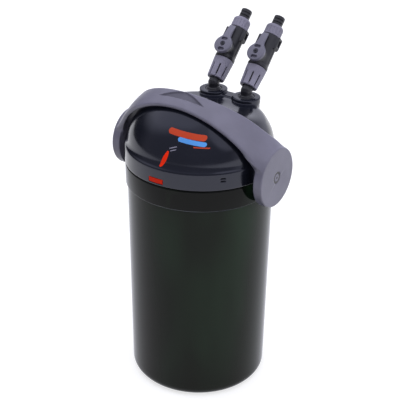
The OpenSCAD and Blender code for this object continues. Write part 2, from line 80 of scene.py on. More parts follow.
COLLAR_Z, COLLAR_R, RIM_Z = 250.5, 85.7, 275.4


# ---------------------------------------------------------------- fields

def smooth_min(a, b, k):
    h = np.clip(0.5 + 0.5 * (b - a) / k, 0, 1)
    return b + (a - b) * h - k * h * (1 - h)


def smooth_max(a, b, k):
    return -smooth_min(-a, -b, k)


def slab(v, low, high):
    return np.maximum(low - v, v - high)


def block(x, y, z, half, soft):
    """Rounded block of half sizes half, with edges of radius soft."""
    qx, qy, qz = (np.abs(v) - h + soft for v, h in zip((x, y, z), half))
    outside = np.sqrt(np.maximum(qx, 0) ** 2 + np.maximum(qy, 0) ** 2 + np.maximum(qz, 0) ** 2)
    return outside + np.minimum(np.maximum(np.maximum(qx, qy), qz), 0) - soft


def rod(radius, along, r, low, high, soft):
    """Rod of radius r between low and high, with edges rounded by soft."""
    return smooth_max(radius - r, slab(along, low, high), soft)


def surface_net(field, low, high, step):
    """Quads on the field's zero level, one vertex in each grid cell that it crosses."""
    axes = [np.arange(a, b + step, step, dtype=np.float32) for a, b in zip(low, high)]
    grid = np.meshgrid(*axes, indexing="ij")
    f = field(*grid).astype(np.float32)
    inside = f < 0
    n = [len(a) - 1 for a in axes]
    total = np.zeros([*n, 3], np.float32)
    count = np.zeros(n, np.float32)
    for axis in range(3):
        others = [a for a in range(3) if a != axis]
        for shift in ((0, 0), (0, 1), (1, 0), (1, 1)):
            start, end = [slice(None)] * 3, [slice(None)] * 3
            start[axis], end[axis] = slice(0, n[axis]), slice(1, n[axis] + 1)
            for o, s in zip(others, shift):
                start[o] = end[o] = slice(s, n[o] + s)
            fa, fb = f[tuple(start)], f[tuple(end)]
            crossing = inside[tuple(start)] != inside[tuple(end)]
            t = np.where(crossing, fa / np.where(crossing, fa - fb, 1), 0)
            total[..., axis] += t
            for o, s in zip(others, shift):
                total[..., o] += crossing * s
            count += crossing
    active = count > 0
    ids = np.full(n, -1, np.int64)
    ids[active] = np.arange(active.sum())
    cell = np.argwhere(active)
    points = np.array(low) + (cell + total[active] / count[active][:, None]) * step
    faces = []
    for axis in range(3):
        b, c = (axis + 1) % 3, (axis + 2) % 3
        start, end = [slice(1, m) for m in n], [slice(1, m) for m in n]
        start[axis], end[axis] = slice(0, n[axis]), slice(1, n[axis] + 1)
        change = inside[tuple(start)].astype(np.int8) - inside[tuple(end)]
        for way in (1, -1):
            at = np.argwhere(change == way)
            at[:, b] += 1
            at[:, c] += 1
            corners = []
            for db, dc in ((1, 1), (0, 1), (0, 0), (1, 0))[::way]:
                p = at.copy()
                p[:, b] -= db
                p[:, c] -= dc
                corners.append(ids[p[:, 0], p[:, 1], p[:, 2]])
            faces.append(np.stack(corners, 1))
    return points, np.concatenate(faces)


def settle(field, points, step, rounds=3):
    """Moves the points onto the field's zero level along its gradient."""
    e = 0.02
    for _ in range(rounds):
        x, y, z = points.T
        f = field(x, y, z)
        g = np.stack([field(x + e, y, z) - field(x - e, y, z), field(x, y + e, z) - field(x, y - e, z),
                      field(x, y, z + e) - field(x, y, z - e)], 1) / (2 * e)
        size = np.maximum((g ** 2).sum(1), 0.05)
        move = -(f / size)[:, None] * g
        length = np.linalg.norm(move, axis=1, keepdims=True)
        points = points + move * np.minimum(1, 0.5 * step / np.maximum(length, 1e-9))
    return points


def moulded(field, low, high, step):
    """(points, faces) of a moulded shape, in millimetres."""
    points, faces = surface_net(field, low, high, step)
    return settle(field, points, step), faces


# ---------------------------------------------------------------- meshes

def mesh_object(name, points, faces, sharp=None):
    """Makes an object of points in millimetres, smooth apart from edges sharper than sharp degrees."""
    mesh = bpy.data.meshes.new(name)
    mesh.from_pydata((np.asarray(points, float) * MM).tolist(), [], np.asarray(faces).tolist()
                     if isinstance(faces, np.ndarray) else faces)
    mesh.validate()
    mesh.polygons.foreach_set("use_smooth", [True] * len(mesh.polygons))
    if sharp is not None:
        mesh.set_sharp_from_angle(angle=math.radians(sharp))
    o = bpy.data.objects.new(name, mesh)
    bpy.context.scene.collection.objects.link(o)
    return o


def arc(cx, cz, r, start, end, steps):
    """Points on an arc, angles in degrees."""
    turns = [math.radians(start + (end - start) * i / steps) for i in range(steps + 1)]
    return [(cx + r * math.cos(t), cz + r * math.sin(t)) for t in turns]


def lathe(profile, segments):
    """(points, faces) of a profile of (radius, height) turned round Z. Its ends lie on the axis, or it is
    closed."""
    points, rings, faces = [], [], []
    for r, z in profile:
        if r < 1e-6:
            rings.append([len(points)] * segments)
            points.append((0, 0, z))
        else:
            rings.append(list(range(len(points), len(points) + segments)))
            for i in range(segments):
                t = 2 * math.pi * i / segments
                points.append((r * math.cos(t), r * math.sin(t), z))
    closed = profile[0][0] > 1e-6
    last = len(rings) if closed else len(rings) - 1
    for k in range(last):
        a, b = rings[k], rings[(k + 1) % len(rings)]
        for i in range(segments):
            j = (i + 1) % segments
            corner = [a[i], a[j], b[j], b[i]]
            faces.append([v for n, v in enumerate(corner) if v not in corner[:n]])
    return points, faces


def placed(points, matrix):
    points = np.asarray(points, float)
    m = np.array(matrix)
    return points @ m[:3, :3].T + m[:3, 3]


def tap_matrix(side):
    """From a tap's own frame, Z along its pipe and -Y to the lever, to the row frame."""
    return Matrix.Translation((side * TAP_X, TAP_Y, ELBOW_Z)) @ Matrix.Rotation(math.radians(-45), 4, "X")


# ---------------------------------------------------------------- materials

class Nodes:
    """Short names for building one material's nodes."""

    def __init__(self, name):
        self.material = bpy.data.materials.new(name)
        self.material.use_nodes = True
        self.tree = self.material.node_tree
        self.shader = self.tree.nodes["Principled BSDF"]
        self.place = self.add("ShaderNodeTexCoord").outputs["Object"]

    def add(self, kind, **values):
        node = self.tree.nodes.new(kind)
        for key, value in values.items():
            setattr(node, key, value)
        return node

    def link(self, a, b):
        self.tree.links.new(a, b)

    def noise(self, scale, detail=4.0, rough=0.55, stretch=None):
        node = self.add("ShaderNodeTexNoise")
        node.inputs["Scale"].default_value = scale
        node.inputs["Detail"].default_value = detail
        node.inputs["Roughness"].default_value = rough
        place = self.place
        if stretch:
            mapping = self.add("ShaderNodeMapping")
            mapping.inputs["Scale"].default_value = stretch
            self.link(place, mapping.inputs["Vector"])
            place = mapping.outputs["Vector"]
        self.link(place, node.inputs["Vector"])
        return node.outputs["Fac"]

    def spread(self, value, low, high, out_low, out_high):
        node = self.add("ShaderNodeMapRange")
        for key, v in zip(("From Min", "From Max", "To Min", "To Max"), (low, high, out_low, out_high)):
            node.inputs[key].default_value = v
        self.link(value, node.inputs["Value"])
        return node.outputs["Result"]

    def colours(self, value, stops):
        node = self.add("ShaderNodeValToRGB")
        ramp = node.color_ramp
        while len(ramp.elements) < len(stops):
            ramp.elements.new(0.5)
        for element, (at, colour) in zip(ramp.elements, stops):
            element.position = at
            element.color = (*colour, 1)
        self.link(value, node.inputs["Fac"])
        return node.outputs["Color"]

    def mixed(self, share, a, colour):
        """Colour a, turned into a fixed colour where share is 1."""
        node = self.add("ShaderNodeMix", data_type="RGBA")
        self.link(share, node.inputs["Factor"])
        self.link(a, node.inputs["A"])
        node.inputs["B"].default_value = (*colour, 1)
        return node.outputs["Result"]

    def times(self, a, b):
        node = self.add("ShaderNodeMath", operation="MULTIPLY")
        self.link(a, node.inputs[0])
        self.link(b, node.inputs[1])
        return node.outputs[0]

    def plus(self, a, b, share=1.0):
        node = self.add("ShaderNodeMath", operation="MULTIPLY_ADD")
        self.link(b, node.inputs[0])
        node.inputs[1].default_value = share
        self.link(a, node.inputs[2])
        return node.outputs[0]

    def bump(self, height, distance, strength=1.0):
        node = self.add("ShaderNodeBump")
        node.inputs["Distance"].default_value = distance
        node.inputs["Strength"].default_value = strength
        self.link(height, node.inputs["Height"])
        self.link(node.outputs["Normal"], self.shader.inputs["Normal"])

    def set(self, **values):
        for key, value in values.items():
            self.shader.inputs[key.replace("_", " ")].default_value = value

    def to(self, key, value):
        self.link(value, self.shader.inputs[key.replace("_", " ")])


def tone(colour, k):
    return tuple(min(1, c * k) for c in colour)


def plastic(name, colour, rough, grain=900, depth=0.00004, mottle=0.06, ior=1.5):
    """Moulded plastic: faint mottling, fine surface grain and slightly uneven gloss."""
    m = Nodes(name)
    cloud = m.noise(28, 3)
    m.to("Base Color", m.colours(cloud, [(0.3, tone(colour, 1 - mottle)), (0.7, tone(colour, 1 + mottle))]))
    fine = m.noise(grain, 2, 0.5)
    smear = m.noise(60, 4, 0.6)
    m.to("Roughness", m.spread(m.plus(smear, fine, 0.4), 0.35, 1.05, rough * 0.85, rough * 1.2))
    m.bump(fine, depth, 1.0)
    m.set(IOR=ior)
    return m.material


def gloss(name, colour, rough, shine, cast):
    """Polished moulding: deep colour, very slight orange peel, faint dust and wiping marks."""
    m = Nodes(name)
    cloud = m.noise(14, 2)
    m.to("Base Color", m.colours(cloud, [(0.35, tone(colour, 0.9)), (0.7, tone(colour, 1.12))]))
    wipe = m.noise(30, 5, 0.65, stretch=(1.0, 1.0, 3.0))
    dust = m.noise(1400, 2, 0.5)
    m.to("Roughness", m.spread(m.plus(wipe, dust, 0.25), 0.4, 0.9, rough * 0.75, rough * 1.5))
    m.bump(m.noise(90, 2, 0.4), 0.00006, 0.6)
    m.set(IOR=1.5, Specular_IOR_Level=shine, Specular_Tint=(*cast, 1))
    return m.material


def tinted(name):
    """Dark green moulding, given as opaque: unevenly green, darker towards the foot and in patches of the
    collar, with a painted highlight: a thin light line along the collar's step."""
    m = Nodes(name)
    place = m.add("ShaderNodeSeparateXYZ")
    m.link(m.place, place.inputs[0])
    height = place.outputs["Z"]
    depth = m.noise(11, 2, 0.45, stretch=(1.0, 1.0, 0.35))
    inner = m.plus(depth, m.spread(height, 0.02, 0.24, -0.06, 0.1))
    wall = m.colours(inner, [(0.4, (0.0046, 0.0042, 0.0026)), (0.56, (0.0062, 0.0105, 0.0055)),
                             (0.74, (0.0125, 0.028, 0.014))])
    patch = m.noise(24, 2, 0.4, stretch=(1.0, 1.0, 0.6))
    above = m.spread(height, COLLAR_Z * MM, (COLLAR_Z + 1) * MM, 0.0, 1.0)
    collar = m.times(above, m.spread(patch, 0.46, 0.56, 1.0, 0.0))
    dark = m.mixed(collar, wall, (0.0026, 0.003, 0.0022))
    # Painted highlight: a thin pale band along the collar's step, broken up by noise.
    rise = m.spread(height, (COLLAR_Z + 0.2) * MM, (COLLAR_Z + 0.7) * MM, 0.0, 1.0)
    fall = m.spread(height, (COLLAR_Z + 1.0) * MM, (COLLAR_Z + 1.5) * MM, 1.0, 0.0)
    edge = m.times(m.times(rise, fall), m.spread(m.noise(18, 1), 0.38, 0.55, 0.2, 1.0))
    m.to("Base Color", m.mixed(edge, dark, (0.2, 0.215, 0.22)))
    wipe = m.noise(30, 5, 0.65, stretch=(1.0, 1.0, 3.0))
    m.to("Roughness", m.spread(wipe, 0.3, 0.75, 0.06, 0.14))
    m.bump(m.noise(70, 2, 0.4), 0.00005, 0.6)
    m.set(IOR=1.32, Specular_IOR_Level=0.3)
    m.set(Sheen_Weight=0.16, Sheen_Roughness=0.3, Sheen_Tint=(0.45, 0.55, 1.0, 1))
    return m.material


def metal(name, colour, rough):
    """Turned or drawn metal with fine lines along one direction."""
    m = Nodes(name)
    lines = m.noise(260, 4, 0.6, stretch=(1, 1, 40))
    m.to("Base Color", m.colours(lines, [(0.3, tone(colour, 0.82)), (0.7, tone(colour, 1.1))]))
    m.to("Roughness", m.spread(lines, 0.3, 0.7, rough * 0.8, rough * 1.25))
    m.bump(lines, 0.00003, 0.6)
    m.set(Metallic=1.0)
    return m.material


def soft_rubber(name, colour):
    m = Nodes(name)
    powder = m.noise(45, 5, 0.65)
    m.to("Base Color", m.colours(powder, [(0.35, tone(colour, 0.8)), (0.75, tone(colour, 1.9))]))
    m.to("Roughness", m.spread(powder, 0.3, 0.7, 0.55, 0.8))
    m.bump(m.noise(1100, 3), 0.00005, 0.8)
    return m.material


def windings(name):
    """Enamelled copper wire wound side by side, with painted shade in the grooves between the wires."""
    m = Nodes(name)
    wave = m.add("ShaderNodeTexWave", wave_type="BANDS", bands_direction="X", wave_profile="SIN")
    wave.inputs["Scale"].default_value = 640
    wave.inputs["Distortion"].default_value = 0.3
    m.link(m.place, wave.inputs["Vector"])
    # Painted shade: dark bands in the grooves between the wires.
    m.to("Base Color", m.colours(wave.outputs["Fac"], [(0.1, (0.16, 0.05, 0.02)), (0.8, (0.62, 0.27, 0.1))]))
    m.bump(wave.outputs["Fac"], 0.0004, 1.0)
    m.set(Metallic=0.85, Roughness=0.3)
    return m.material


def laminations(name):
    m = Nodes(name)
    wave = m.add("ShaderNodeTexWave", wave_type="BANDS", bands_direction="Z", wave_profile="SAW")
    wave.inputs["Scale"].default_value = 320
    m.link(m.place, wave.inputs["Vector"])
    stain = m.noise(70, 5, 0.6)
    m.to("Base Color", m.colours(stain, [(0.3, (0.16, 0.16, 0.17)), (0.75, (0.34, 0.34, 0.36))]))
    m.to("Roughness", m.spread(stain, 0.3, 0.7, 0.35, 0.6))
    m.bump(wave.outputs["Fac"], 0.0003, 0.8)
    m.set(Metallic=0.9)
    return m.material


def foam(name, colour, pore):
    """Open foam: dark pores in a coloured web; the pores' darkness is painted shade."""
    m = Nodes(name)
    cells = m.add("ShaderNodeTexVoronoi", feature="DISTANCE_TO_EDGE")
    cells.inputs["Scale"].default_value = pore
    m.link(m.place, cells.inputs["Vector"])
    shade = m.noise(pore * 0.3, 3)
    # Painted shade: the pores are darker than the web round them.
    open_cell = m.spread(cells.outputs["Distance"], 0.02, 0.22, 0.0, 1.0)
    web = m.colours(open_cell, [(0.0, tone(colour, 1.35)), (1.0, tone(colour, 0.28))])
    mix = m.add("ShaderNodeMix", data_type="RGBA", blend_type="MULTIPLY")
    mix.inputs["Factor"].default_value = 0.35
    m.link(web, mix.inputs["A"])
    m.link(m.colours(shade, [(0.3, (0.6, 0.6, 0.6)), (0.7, (1, 1, 1))]), mix.inputs["B"])
    m.to("Base Color", mix.outputs["Result"])
    m.bump(m.spread(cells.outputs["Distance"], 0.0, 0.3, 1.0, 0.0), 0.0012, 1.0)
    m.set(Roughness=0.9)
    return m.material


def fleece(name):
    m = Nodes(name)
    fibre = m.noise(700, 8, 0.75, stretch=(1, 1, 0.4))
    tuft = m.noise(120, 4, 0.6)
    shade = m.plus(fibre, tuft, 0.5)
    m.to("Base Color", m.colours(shade, [(0.45, (0.5, 0.49, 0.46)), (0.95, (0.9, 0.89, 0.86))]))
    m.bump(m.plus(fibre, tuft, 0.8), 0.0012, 1.0)
    m.set(Roughness=0.95, Sheen_Weight=0.3)
    return m.material


def fired_clay(name):
    m = Nodes(name)
    speck = m.noise(420, 5, 0.7)
    tint = m.noise(60, 2)
    shade = m.plus(speck, tint, 0.8)
    m.to("Base Color", m.colours(shade, [(0.5, (0.36, 0.27, 0.18)), (1.2, (0.72, 0.62, 0.48))]))
    m.bump(speck, 0.0003, 1.0)
    m.set(Roughness=0.88)
    return m.material


MATERIALS = {
    "tinted_tub": tinted("tinted_tub"),
    "black_gloss": gloss("black_gloss", (0.008, 0.009, 0.015), 0.13, 0.5, (0.93, 0.95, 1.12)),
    "black_satin": plastic("black_satin", (0.0165, 0.0165, 0.0215), 0.34),
    "grey_plastic": plastic("grey_plastic", (0.148, 0.143, 0.195), 0.36, 1200, 0.00007, mottle=0.11),
    "red_plastic": plastic("red_plastic", (0.72, 0.02, 0.001), 0.45, depth=0.00002, ior=1.2),
    "inner_plastic": plastic("inner_plastic", (0.028, 0.029, 0.033), 0.5),
    "rubber": soft_rubber("rubber", (0.016, 0.016, 0.017)),
    "steel": metal("steel", (0.5, 0.51, 0.53), 0.32),
    "core_steel": laminations("core_steel"),
    "copper": windings("copper"),
    "ceramic": plastic("ceramic", (0.72, 0.71, 0.68), 0.12, depth=0.00001),
    "magnet": plastic("magnet", (0.03, 0.03, 0.034), 0.45, grain=500, depth=0.00008),
    "rotor_plastic": plastic("rotor_plastic", (0.5, 0.53, 0.57), 0.35),
    "basket_plastic": plastic("basket_plastic", (0.03, 0.15, 0.19), 0.38),
    "bail_plastic": plastic("bail_plastic", (0.6, 0.6, 0.57), 0.4),
    "media_ceramic": fired_clay("media_ceramic"),
    "sponge_blue": foam("sponge_blue", (0.035, 0.14, 0.38), 420),
    "pad_white": fleece("pad_white"),
}

# Looks that only some pieces of a slot have: printing inks, nuts, the finger hollow's painted shade and the
# lever screws
PRINTS = [plastic(name, colour, 0.35, depth=0.000005, ior=1.25) for name, colour in (
    ("ink_red", (0.5, 0.055, 0.02)), ("ink_blue", (0.1, 0.33, 0.78)), ("ink_pale", (0.26, 0.25, 0.32)),
    ("ink_signal", (0.92, 0.03, 0.003)))]

STREAKED = plastic("grey_nut", (0.21, 0.2, 0.27), 0.4, 500, 0.0002, mottle=0.2)
# Painted shade in the finger hollow: a darker grey, also rougher and grainier.
SHADED_GRIP = plastic("grey_grip_shade", (0.084, 0.081, 0.112), 0.55, 700, 0.0003, mottle=0.16)
DARK_STEEL = metal("dark_steel", (0.07, 0.07, 0.08), 0.4)

SLOT_OF = {s["node"]: s["material_slot"] for s in frame["record"]["subparts"]}
for name, node in frame["nodes"].items():
    node.data.materials.clear()
    node.data.materials.append(MATERIALS[SLOT_OF[name]])
for side in ("left", "right"):
    frame["nodes"]["lever_screw_" + side].data.materials[0] = DARK_STEEL


def finish_piece(o, body, slot, node=None, look=None):
    """Gives a piece its material (its own look, or else its slot's material), puts it in its body, and hides
    the CAD node that it stands for.
    """
    o.data.materials.append(look or MATERIALS[slot])
    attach(o, body)
    if node:
        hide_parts(node)
    return o


# ---------------------------------------------------------------- tub

def tub_profile():
    foot = arc(68.7, 12, 12, -90, -4, 12)
    wall = [(80.7 + 2.8 * t, 12 + (COLLAR_Z - 12) * t) for t in (0.02, 0.25, 0.5, 0.75, 0.985, 0.998)]
    step = arc(COLLAR_R - 1.1, COLLAR_Z + 1.6, 1.1, -70, 0, 5)
    rim = arc(COLLAR_R - 1.6, RIM_Z - 1.6, 1.6, 0, 90, 6)
    mouth = arc(80.5 + 0.7, RIM_Z - 0.7, 0.7, 90, 180, 4)
    inside = [(80.5, COLLAR_Z - 3), (78.1, 13)] + arc(68.7, 12, 9.4, 0, -90, 8)
    return [(0, 0)] + foot + wall + step + rim + mouth + inside + [(0, 2.6)]


def make_tub():
    points, faces = lathe(tub_profile(), 180)
    tub = mesh_object("tub_shell", points, faces, 40)
    finish_piece(tub, "tub", "tinted_tub", "canister")
    profile = [(59, 2), (62, 2)] + arc(61.5, 11.5, 0.5, 0, 90, 3) + arc(59.5, 11.5, 0.5, 90, 180, 3)
    ring = mesh_object("tub_seat_ring", *lathe(profile, 96), 40)
    finish_piece(ring, "tub", "tinted_tub")


# ---------------------------------------------------------------- head

def head_form(x, y, z):
    """The head's plain outer form: a dome about the pivot axis, lowered behind the handle."""
    r = np.sqrt(x * x + y * y)
    rho = np.sqrt(y * y + (z - PIVOT_Z) ** 2)
    dome = (np.sqrt((x / DOME[0]) ** 2 + (rho / DOME[1]) ** 2) - 1) * DOME[1]
    dome = smooth_max(dome, r - SIDE_R, 6)
    slope = np.minimum(y + 38, (y + 38) * 0.3474 + (z - 355.5) * 0.9377)
    deck = z - 336 + 0.0005 * r * r
    return smooth_max(dome, smooth_min(slope, deck, 8), 7)


def cover_form(x, y, z):
    """The dome with the skirt that it flares into."""
    r = np.sqrt(x * x + y * y)
    lip = smooth_max(r - SKIRT_R, (z - SKIRT_TOP) * LIP_SLOPE[0] + (r - SKIRT_R) * LIP_SLOPE[1], 1.5)
    return smooth_min(head_form(x, y, z), smooth_max(lip, SEAM_Z - 9 - z, 1), 6)


def head_field(x, y, z):
    ax = np.abs(x)
    r = np.sqrt(x * x + y * y)
    form = head_form(x, y, z)
    body = cover_form(x, y, z)
    pin = np.sqrt(y * y + (z - PIVOT_Z) ** 2)
    reach = (np.sqrt((x / EAR_REACH[0]) ** 2 + (pin / EAR_REACH[1]) ** 2) - 1) * EAR_REACH[1]
    ear = smooth_max(block(ax - EAR_X, y, z - EAR_Z, EAR_HALF, 6), reach, 2)
    body = smooth_min(body, ear, 4)
    c = np.sqrt((ax - TAP_X) ** 2 + (y - TAP_Y) ** 2)
    step = rod(c, z, STEP_R, STEP_LOW, STEP_TOP + 1, 1)
    web = block(x, y - TAP_Y, z - WEB_Z, (TAP_X, 8, 14), 2)
    body = smooth_min(smooth_min(body, step, 2), web, 1.5)
    body = smooth_min(body, rod(c, z, SOCKET_R, STEP_TOP, SOCKET_TOP, 1.0), 0.5)
    room = np.maximum(form + WALL, STEP_R - c)
    body = np.maximum(body, -room)
    body = np.maximum(body, -np.maximum(r - 82, z - 279))
    body = smooth_max(body, SEAM_Z - z, 1.0)
    hub = np.maximum(rod(pin, ax, HUB_R, 80, 91, 0.4), COLLAR_R + 0.5 - r)
    body = np.minimum(body, np.minimum(hub, rod(pin, ax, PIN_R, 88, 96, 0.6)))
    body = smooth_max(body, -rod(c, z, SHANK_R + 0.1, 280, 350, 0.4), 0.8)
    window = block(x, y - WINDOW_Y, z - WINDOW_Z, WINDOW_HALF, 0.8)
    body = smooth_max(body, -window, 0.8)
    for height in MARK_ZS:
        body = smooth_max(body, -block(x - MARK_X, y - MARK_Y, z - height, MARK_HALF, 0.4), 0.4)
    gland = np.maximum(np.sqrt(x * x + (z - GLAND_Z) ** 2) - GLAND_R, GLAND_FRONT - y)
    return smooth_max(body, -gland, 0.5)


def make_head():
    points, faces = moulded(head_field, (-98, -88, 264), (98, 88, 368), 1.0)
    cover = mesh_object("head_shell", points, faces)
    finish_piece(cover, "head", "black_gloss", "head_cover")


def print_patch(name, rows, slot, material):
    """A printed mark on the front of the dome: rows of (x, z) points, laid on the surface as a thin film."""
    rows = np.array(rows, float)
    n, m = rows.shape[:2]
    x, z = rows[..., 0].ravel(), rows[..., 1].ravel()
    rho = DOME[1] * np.sqrt(1 - (x / DOME[0]) ** 2)
    start = np.stack([x, -np.sqrt(rho ** 2 - (z - PIVOT_Z) ** 2), z], 1)
    films = [settle(lambda a, b, c, d=d: cover_form(a, b, c) - d, start, 1.0, 4) for d in (0.07, -0.1)]
    grid = np.arange(n * m).reshape(n, m)
    top = [[grid[i, j], grid[i, j + 1], grid[i + 1, j + 1], grid[i + 1, j]]
           for i in range(n - 1) for j in range(m - 1)]
    edge = list(grid[0, :-1]) + list(grid[:-1, -1]) + list(grid[-1, :0:-1]) + list(grid[:0:-1, 0])
    faces = [[int(v) for v in f] for f in top] + [[int(v) + n * m for v in f[::-1]] for f in top]
    for a, b in zip(edge, edge[1:] + edge[:1]):
        faces.append([int(b), int(a), int(a) + n * m, int(b) + n * m])
    finish_piece(mesh_object(name, np.concatenate(films), faces, 50), "head", slot, look=material)


def band(x0, x1, z0, z1, half, steps=24):
    """Rows across a bar from (x0, z0) to (x1, z1) with round ends, half high on each side of its middle."""
    rows = []
    for i in range(steps + 1):
        t = 0.5 - 0.5 * math.cos(math.pi * i / steps)
        along = x0 + (x1 - x0) * t
        end = min(along - x0, x1 - along, half)
        h = max(half * math.sqrt(max(0, 1 - (1 - end / half) ** 2)), 0.08)
        middle = z0 + (z1 - z0) * t
        rows.append([(along, middle + h * k) for k in (-1, -0.33, 0.33, 1)])
    return rows


def arrow_rows():
    """A curved wedge that rises from the button, thin at both ends."""
    rows = []
    for i in range(17):
        t = i / 16
        x, z = 3.9 + 6.6 * t ** 0.75, 298.0 + 17.5 * t
        half = 0.35 + 2.1 * math.sin(math.pi * (0.08 + 0.86 * t)) ** 0.8
        rows.append([(x + half * k, z - 0.35 * half * k) for k in (-1, -0.33, 0.33, 1)])
    return rows


def make_prints():
    red, blue, pale, signal = PRINTS
    print_patch("print_band_red", band(3.2, 44.5, 334.6, 330.6, 2.7), "red_plastic", red)
    print_patch("print_band_blue", band(17.0, 46.5, 328.5, 324.9, 2.1), "black_gloss", blue)
    print_patch("print_line_red", band(35.0, 50.5, 322.4, 322.0, 0.6), "red_plastic", red)
    print_patch("print_arrow", arrow_rows(), "red_plastic", signal)
    print_patch("print_tick_upper", band(10.6, 18.6, 318.3, 321.2, 0.5, 10), "grey_plastic", pale)
    print_patch("print_tick_lower", band(12.4, 18.8, 316.0, 318.4, 0.5, 10), "grey_plastic", pale)


# ---------------------------------------------------------------- handle

def grip_depth(x, v):
    """How far a point is inside the leaf-shaped finger hollow on the back half of the strap's top."""
    back = GRIP_EDGE + GRIP_WIDE * (1 - np.clip(np.abs(x) / GRIP_HALF, 0, 1) ** 1.4)
    return np.minimum(v - GRIP_EDGE, back - v)


def handle_field(x, v, u):
    """In the arch's own frame: x across, v backwards, u up the arch."""
    ax = np.abs(x)
    rho = np.sqrt(v * v + u * u)
    outer = (np.sqrt((x / ARCH[0]) ** 2 + (rho / ARCH[1]) ** 2) - 1) * ARCH[1]
    inner = (np.sqrt((x / ARCH_INSIDE[0]) ** 2 + (rho / ARCH_INSIDE[1]) ** 2) - 1) * ARCH_INSIDE[1]
    width = np.abs(v - STRAP_SHIFT) - STRAP_TOP - STRAP_FLARE * (x / ARCH[0]) ** 2
    grip = GRIP_DEPTH * np.clip(grip_depth(x, v) / 1.8, 0, 1)
    strap = smooth_max(smooth_max(outer + grip, width, 2.6), -u, 1)
    cone = smooth_max(ax - 99.4, (ax - 99) * 0.55 + (rho - 34) * 0.84, 4)
    cone = np.maximum(np.maximum(cone, width + 0.4), np.maximum(-u, rho - 52))
    strap = smooth_min(strap, cone, 7)
    strap = smooth_max(strap, -inner, 1.6)
    disc = rod(rho, ax, DISC_R, DISC_IN, DISC_OUT, 1.4)
    dish = np.sqrt((ax - DISC_OUT - DISH_AWAY) ** 2 + rho ** 2) - DISH_R
    disc = smooth_max(disc, -dish, 1.2)
    body = smooth_min(strap, disc, 3.2)
    clear = np.maximum(ax - DISC_IN, rho - 22.5)
    body = np.maximum(body, -clear)
    body = np.maximum(body, -np.maximum(ax - DISC_IN, inner))
    body = smooth_max(body, -rod(rho, ax, 9.05, 80, 96.3, 0.4), 0.4)
    body = smooth_max(body, -rod(rho, ax, SCREW_WELL, 99, 120, 0.3), 0.5)
    body = smooth_max(body, -rod(rho, ax, 3.1, 90, 110, 0.2), 0.2)
    groove = np.maximum(np.maximum(rho - RING_OUT, RING_IN - rho), ax - RING_FLOOR)
    body = smooth_max(body, -groove, 0.4)
    back, down = v * math.cos(LEAN) - u * math.sin(LEAN), -(v * math.sin(LEAN) + u * math.cos(LEAN))
    slot = np.maximum(np.maximum(np.abs(back) - ENTRY_HALF, RING_IN - down), ax - RING_FLOOR)
    return np.maximum(smooth_max(body, -slot, 0.4), ax - DISC_OUT)


def make_handle():
    points, faces = moulded(handle_field, (-104, -36, -36), (104, 38, 92), 0.9)
    turn = Matrix.Translation((0, 0, PIVOT_Z)) @ Matrix.Rotation(LEAN, 4, "X")
    handle = mesh_object("handle_strap", placed(points, turn), faces)
    finish_piece(handle, "carry_handle", "grey_plastic", "handle")
    handle.data.materials.append(SHADED_GRIP)
    centre = points[faces].mean(axis=1)
    # Faces in the finger hollow take the darker grey: painted shade.
    hollow = (grip_depth(centre[:, 0], centre[:, 1]) > 0.2) & (centre[:, 2] > 60)
    outer = np.linalg.norm(centre / (ARCH[0], ARCH[1], ARCH[1]), axis=1) > 0.965
    handle.data.polygons.foreach_set("material_index", (hollow & outer).astype(np.int32))


def pivot_lathes(profiles):
    """(points, faces) of profiles turned about the pivot axis, each on both sides."""
    turn = Matrix.Rotation(math.radians(90), 4, "Y")
    points, faces = [], []
    for profile in profiles:
        part, part_faces = lathe(profile, 40)
        for spin in (0, 180):
            m = Matrix.Translation((0, 0, PIVOT_Z)) @ Matrix.Rotation(math.radians(spin), 4, "Z") @ turn
            faces += [[v + len(points) for v in f] for f in part_faces]
            points += placed(part, m).tolist()
    return points, faces


def make_pivot_caps():
    """Heads of the two pivot screws in the wells of the discs, each with a small blind hole. Black rings
    fill the wells round the heads nearly flush, partly as the black screw below and partly as painted shade
    in the deep wells, and black plugs in the blind holes are painted shade."""
    face, seat, hole = SCREW_FACE, SCREW_SEAT, SCREW_HOLE
    head = [(0, seat), (SCREW_HEAD, seat)] + arc(SCREW_HEAD - 0.5, face - 0.5, 0.5, 0, 90, 4)
    head += arc(hole + 0.3, face - 0.3, 0.3, 90, 180, 3) + [(hole, face - 1.4), (0, face - 1.4)]
    shank = [(0, 84.2), (1.5, 84.2), (1.5, seat), (0, seat)]
    caps = mesh_object("pivot_caps", *pivot_lathes((head, shank)), 40)
    finish_piece(caps, "head", "grey_plastic", "pivot_screws")
    # Painted shade: black rings in the wells round the heads and black plugs in the blind holes.
    low, high, inside, outside = seat - 0.25, face - 0.2, SCREW_HEAD + 0.1, SCREW_WELL - 0.1
    shaded_well_ring = [(3.3, low), (outside, low), (outside, high), (inside, high), (inside, low + 0.2)]
    shaded_well_ring.append((3.3, low + 0.2))
    hole_shade = [(0, face - 1.38), (hole - 0.05, face - 1.38), (hole - 0.05, face - 0.3), (0, face - 0.3)]
    finish_piece(mesh_object("pivot_well_shade", *pivot_lathes((shaded_well_ring, hole_shade)), 40), "head", "black_satin")


# ---------------------------------------------------------------- taps

def nut_field(x, y, z):
    r = np.sqrt(x * x + y * y)
    outer = 10.6 + 1.5 * (z - 4.7) / 25.2
    body = rod(r - outer + 12, z, 12, 4.7, 29.9, 1.4)
    turn = np.arctan2(y, x) + math.pi / 8
    sector = (turn % (math.pi / 4)) - math.pi / 8
    facet = r * np.cos(sector) - outer + 0.25 + 0.16 * np.cos(turn * 40)
    body = smooth_max(body, facet, 0.8)
    gap = (math.pi / 8 - np.abs(sector)) * r
    slot = smooth_max(smooth_max(gap - 0.85, outer - 2.4 - r, 0.5), z - 21, 1.5)
    body = smooth_max(body, -slot, 0.6)
    hole = np.minimum(np.minimum(r - 6.8, np.maximum(r - 8.6, 8.6 - z)), np.maximum(r - 9.55, 12 - z))
    return smooth_max(body, -hole, 0.4)


